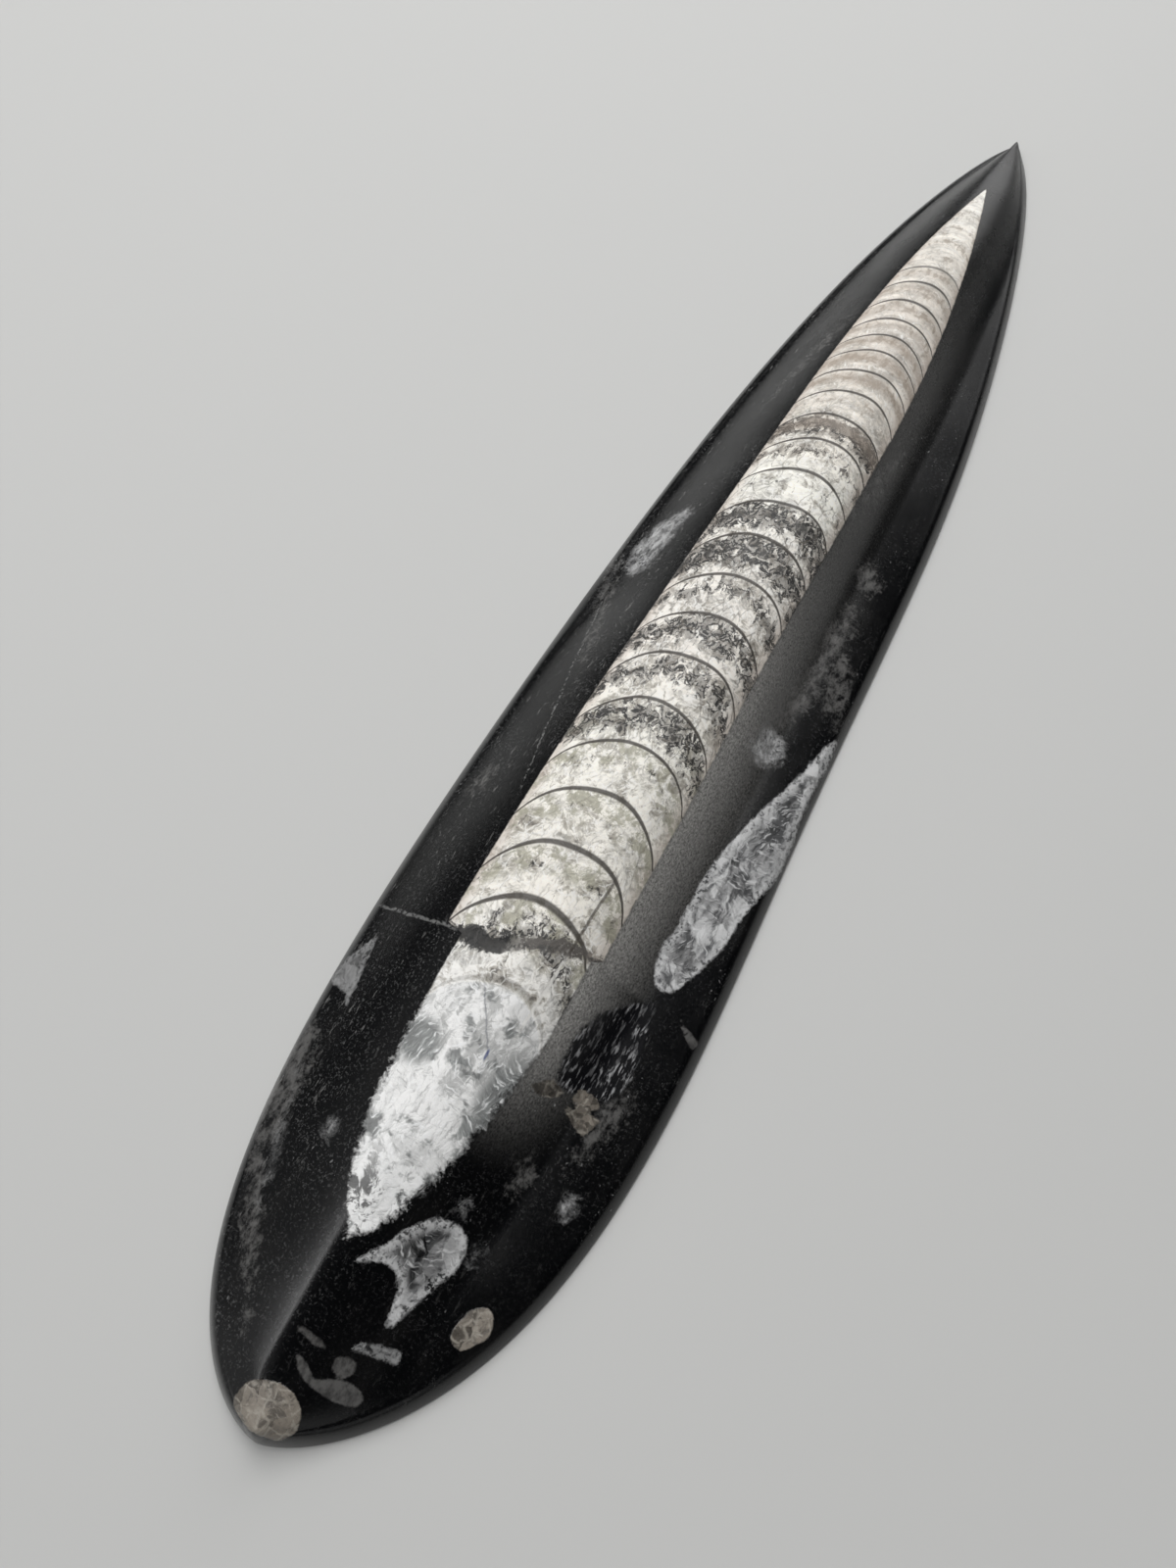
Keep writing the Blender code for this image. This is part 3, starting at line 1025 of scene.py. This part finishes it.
ghostly = soft(0.36, 0.62, grain(drawn(place, 1.0, 0.6), 0.9, 5.0, 0.7))
soft_patch = laid("soft_spar", 3.4, 0.9) * (0.25 + 0.65 * ghostly)
grey_spar = larger(laid("spar", 1.2, 0.20), soft_patch)
beige_spar = laid("beige_spar", 0.5, 0.10)
ribbed = laid("ribbed", 1.4, 0.4)
rock = tint(0.9 * laid("smudge", 5.0, 0.9) * ghostly, rock, GHOST_GREY)
pale_ghost = laid("pale_ghost", 0.6, 0.15) * (0.35 + 0.55 * ghostly)
rock = tint(pale_ghost, rock, GHOST_GREY)
rock = tint(ribbed, rock, RIB_BLACK)
rock = tint(0.95 * ribbed * comb, rock, COMB_WHITE)
rock = tint(0.9 * laid("plates", 0.9, 0.12), rock, shade(beige, 0.35 + 0.7 * fine_tone))
rock = tint(grey_spar, rock, grey)
rock = tint(beige_spar, rock, beige)
print("remains laid")

# %% [markdown]
# ## Fault and crack
# The fault is healed with dark clay: black where it enters the shell, grey
# brown further right, and a pale hairline out in the rock. Dark mineral crept
# down from it like roots. A second crack crosses the last chambers, dark
# above and pale below.

# %% Fault
VEIN_BLACK, VEIN_GREY = (0.018, 0.018, 0.019), (0.12, 0.11, 0.10)
ROOT_BLACK = (0.06, 0.058, 0.055)
below_fault = carried("past_fault") + 0.9 * (spines - 0.5)
from_fault = abs(below_fault)
in_left = 1.0 - soft(-2.5, 0.5, X)
fault_wide = 0.40 + 0.75 * soft(-9.0, -5.5, X) * (0.4 + 0.6 * in_left)
fault_wide = fault_wide + 4.2 * (marble - 0.5)
fault_band = soft(0.35, -0.15, from_fault + 1.3 * (nibble - 0.5) - fault_wide)
calcite = tint(0.94 * fault_band * in_left, calcite, VEIN_BLACK)
healed = fault_band * (1.0 - in_left) * (0.72 + 0.5 * soft(0.40, 0.52, dust))
calcite = tint(healed, calcite, VEIN_GREY)
roots = 1.5 * (teeth - 0.5) + 1.2 * (fern - 0.5) - 0.13 * from_fault + 0.08
roots = soft(0.0, 0.12, roots) * soft(3.6, 1.5, from_fault)
roots = roots * soft(0.3, -0.3, below_fault) * soft(-7.0, -4.0, X) * soft(4.5, 2.0, X)
calcite = tint(0.85 * roots, calcite, ROOT_BLACK)
print("fault healed")

# %% [markdown]
# A crack is a line with a little wander: take the distance to a straight
# line, add some noise, and keep what lies closer than its half width. Each
# crack is then faded in and out along its length. One hair in the body
# chamber carries a small spot of blue ink.

# %% Cracks and veins
SPLIT_BLUE, INK_BLUE = (0.12, 0.13, 0.16), (0.03, 0.06, 0.22)
CRACK_DARK, CRACK_PALE = (0.07, 0.06, 0.05), (0.85, 0.83, 0.79)
VEIN_PALE = (0.26, 0.26, 0.255)
crack_x = 5.0 + 0.05 * (Y + 65.0) + 0.6 * (spines - 0.5)
crack_line = soft(0.24, 0.10, abs(X - crack_x))
crack_line = crack_line * soft(-78.0, -73.0, Y) * soft(-51.0, -55.0, Y)
split_off = 0.84 * (X + 1.7) + 0.54 * (Y + 73.5) + 0.7 * (spines - 0.5)
split_line = soft(0.16, 0.05, abs(split_off))
split_line = split_line * soft(-81.5, -79.5, Y) * soft(-72.5, -74.0, Y)
calcite = tint(0.50 * split_line, calcite, SPLIT_BLUE)
calcite = tint(0.75 * soft(0.22, 0.10, away(2.4, -80.1, 0.05)), calcite, INK_BLUE)
above = soft(-67.0, -64.5, Y)
calcite = tint(0.7 * crack_line * above, calcite, CRACK_DARK)
calcite = tint(0.7 * crack_line * (1.0 - above), calcite, CRACK_PALE)
hairline = soft(0.35, 0.08, from_fault) * soft(0.40, 0.52, nibble)
hairline = hairline * soft(-8.0, -10.0, X) * soft(-23.5, -20.0, X)
vein_x = -12.2 - 0.205 * (Y + 46.3) + 1.6 * (spines - 0.5)
vein = soft(0.18, 0.05, abs(X - vein_x)) * soft(0.47, 0.56, nibble)
vein = vein * soft(-50.0, -45.0, Y) * soft(-8.0, -14.0, Y)
rock = tint(0.6 * larger(hairline, vein) * top, rock, VEIN_PALE)
print("cracks drawn, nodes:", len(tree.nodes))

# %% [markdown]
# ## The sawn underside
# The base was only sawn. It is dull grey with the blade's shallow arcs, rings
# round a place far outside the slab, and the polish stops at its edge.

# %% Sawn base
SAWN_LOW, SAWN_HIGH, SAW_DUST = (0.030, 0.030, 0.031), (0.06,) * 3, (0.09, 0.088, 0.085)
under = soft(0.20, 0.02, carried("height"))
saw = (away(-160.0, 30.0) * 3.6 + 1.5 * cloud).math("SINE") * 0.5 + 0.5
sawn = tint(0.35 * saw, SAWN_LOW, SAWN_HIGH)
sawn = tint(0.5 * soft(0.5, 0.7, dust), sawn, SAW_DUST)
whole = tint(shell, rock, calcite)
whole = tint(under, whole, sawn)
print("base sawn, nodes:", len(tree.nodes))

# %% [markdown]
# ## Gloss and touch
# Limestone takes a soft polish, dull again where the ridge's right flank was
# sanded by hand; the grey sheen there is painted into the colour. Calcite is
# soft and breaks in tiny steps, so it stays duller than the rock, but for the
# large faces at the blunt end. The relief is only hundredths of a millimetre:
# wall lines are a touch low, and crystal faces tilt slightly, which makes them
# glint.

# %% Roughness and relief
gloss_rock = 0.17 + 0.10 * (gloss_and_sheen_grain - 0.5) + 0.10 * soft(0.4, 0.7, rock_cloud)
gloss_rock = gloss_rock + 0.25 * flank_sheen + 0.06 * soft(0.0, 80.0, Y)
gloss_calcite = 0.52 + 0.24 * (face_tone - 0.5) + 0.25 * (dust - 0.5)
gloss_calcite = gloss_calcite - 0.24 * soft(-82.0, -94.0, Y)
spar_all = larger(shell, larger(grey_spar, beige_spar))
gloss = gloss_rock + spar_all * (gloss_calcite - gloss_rock)
gloss = gloss + 0.25 * shell * fault_band * in_left
gloss = gloss + under * (0.75 - gloss)
tilt_way = vector("SUBTRACT", spar.other("Color"), HALF)
tilt = vector("DOT_PRODUCT", vector("SUBTRACT", crumb, spar.other("Position")),
              tilt_way, out=1)
relief = spar_all * (0.09 * tilt + 0.05 * dust + 0.10 * streaks - 0.06 * wall_line)
relief = relief + (1.0 - spar_all) * (0.018 + 0.05 * flank_sheen) * gloss_and_sheen_grain
relief = relief + under * 0.12 * (saw + dust)
normal = Tone.node("Bump", {}, {"Distance": 0.001, "Height": relief})
print("relief ready")

# %% [markdown]
# ## Finish the stone
# One Principled shader carries it all. Only what changes over the surface is
# linked; the rest is a plain number on the shader's own socket. A hand polish
# mirrors little, so the specular level is under its usual half. The new piece
# then takes the place of the plain solid.

# %% Shader and hand-over
skin = tree.nodes.new("ShaderNodeBsdfPrincipled")
output = tree.nodes.new("ShaderNodeOutputMaterial")
tree.links.new(skin.outputs[0], output.inputs["Surface"])
tree.links.new(whole.socket, skin.inputs["Base Color"])
tree.links.new(gloss.socket, skin.inputs["Roughness"])
tree.links.new(normal.socket, skin.inputs["Normal"])
skin.inputs["IOR"].default_value = 1.54
skin.inputs["Specular IOR Level"].default_value = 0.36
mesh.materials.append(material)
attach(stone, "root")
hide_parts("polished_stone")
print("shader nodes:", len(tree.nodes))

# %% [markdown]
# ## The studio
# A plain pale table under big soft lamps in a dim room. The polish mirrors
# the room, so the lamps are placed for their reflections first. The main one
# stands high, beyond the slab and to the left. Smaller ones light the crest
# and the body chamber, and large dim ones wake the rims and the left flank.
# On the right there is only one low, faint lamp, so the stone stays black.

# %% Table
PAPER_GREY = (0.62, 0.62, 0.608, 1.0)
table_mesh = bpy.data.meshes.new("studio_table")
table_mesh.from_pydata([(-3, -3, 0), (3, -3, 0), (3, 3, 0), (-3, 3, 0)], [],
                       [(0, 1, 2, 3)])
table = bpy.data.objects.new("studio_table", table_mesh)
table.location = (0.0, 0.0, -0.00005)
bpy.context.scene.collection.objects.link(table)
paper = bpy.data.materials.new("pale_table")
paper.use_nodes = True
paper_skin = paper.node_tree.nodes["Principled BSDF"]
paper_skin.inputs["Base Color"].default_value = PAPER_GREY
paper_skin.inputs["Roughness"].default_value = 0.75
table_mesh.materials.append(paper)
table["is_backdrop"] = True
print("table laid")

# %% [markdown]
# Each lamp is a square panel that looks at the slab, placed by a heading,
# clockwise from the point, and a rise above the table. Its strength is the
# brightness of its face, because that is what the polish mirrors.

# %% Lamps
LAMPS = (  # name, heading and rise in degrees, distance, side, glow
    ("key_panel", 327.0, 60.0, 0.85, 0.58, 4.15),
    ("high_panel", 235.0, 77.0, 1.2, 0.34, 5.5),
    ("crest_panel", 222.0, 50.0, 1.2, 0.36, 4.6),
    ("left_panel", 278.0, 47.0, 1.2, 1.30, 0.30),
    ("far_panel", 345.0, 40.0, 1.2, 0.80, 0.32),
    ("low_far_panel", 0.0, 22.0, 1.2, 0.70, 1.4),
    ("low_near_panel", 144.0, 22.0, 1.2, 0.60, 0.4),
    ("low_left_panel", 222.0, 22.0, 1.2, 0.80, 0.45))


def panel(name, heading, rise, distance, side, glow):
    """A soft square panel, aimed at the slab, with a face that bright."""
    heading, rise = math.radians(heading), math.radians(rise)
    level = distance * math.cos(rise)
    spot = Vector((level * math.sin(heading), level * math.cos(heading),
                   distance * math.sin(rise)))
    lamp = bpy.data.lights.new(name, "AREA")
    lamp.shape = "SQUARE"
    lamp.size = side
    lamp.energy = glow * math.pi * side * side
    made = bpy.data.objects.new(name, lamp)
    made.location = spot
    made.rotation_euler = (-spot).to_track_quat("-Z", "Y").to_euler()
    bpy.context.scene.collection.objects.link(made)


for lamp_row in LAMPS:
    panel(*lamp_row)
room = bpy.data.worlds.new("dim_room")
room.use_nodes = True
dim = room.node_tree.nodes["Background"]
dim.inputs["Color"].default_value = (0.9, 0.95, 1.0, 1)
dim.inputs["Strength"].default_value = 0.03
bpy.context.scene.world = room
bpy.context.scene.view_settings.view_transform = "Standard"
print(len(LAMPS), "lamps set")

# %% [markdown]
# ## Check the size
# The dressed stone must fill the same box as the solid.

# %% Size
new_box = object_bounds()
change = [round(1000 * (new_box[k][i] - cad_box[k][i]), 3)
          for k in (0, 1) for i in range(3)]
print("difference to the CAD box in mm:", change)
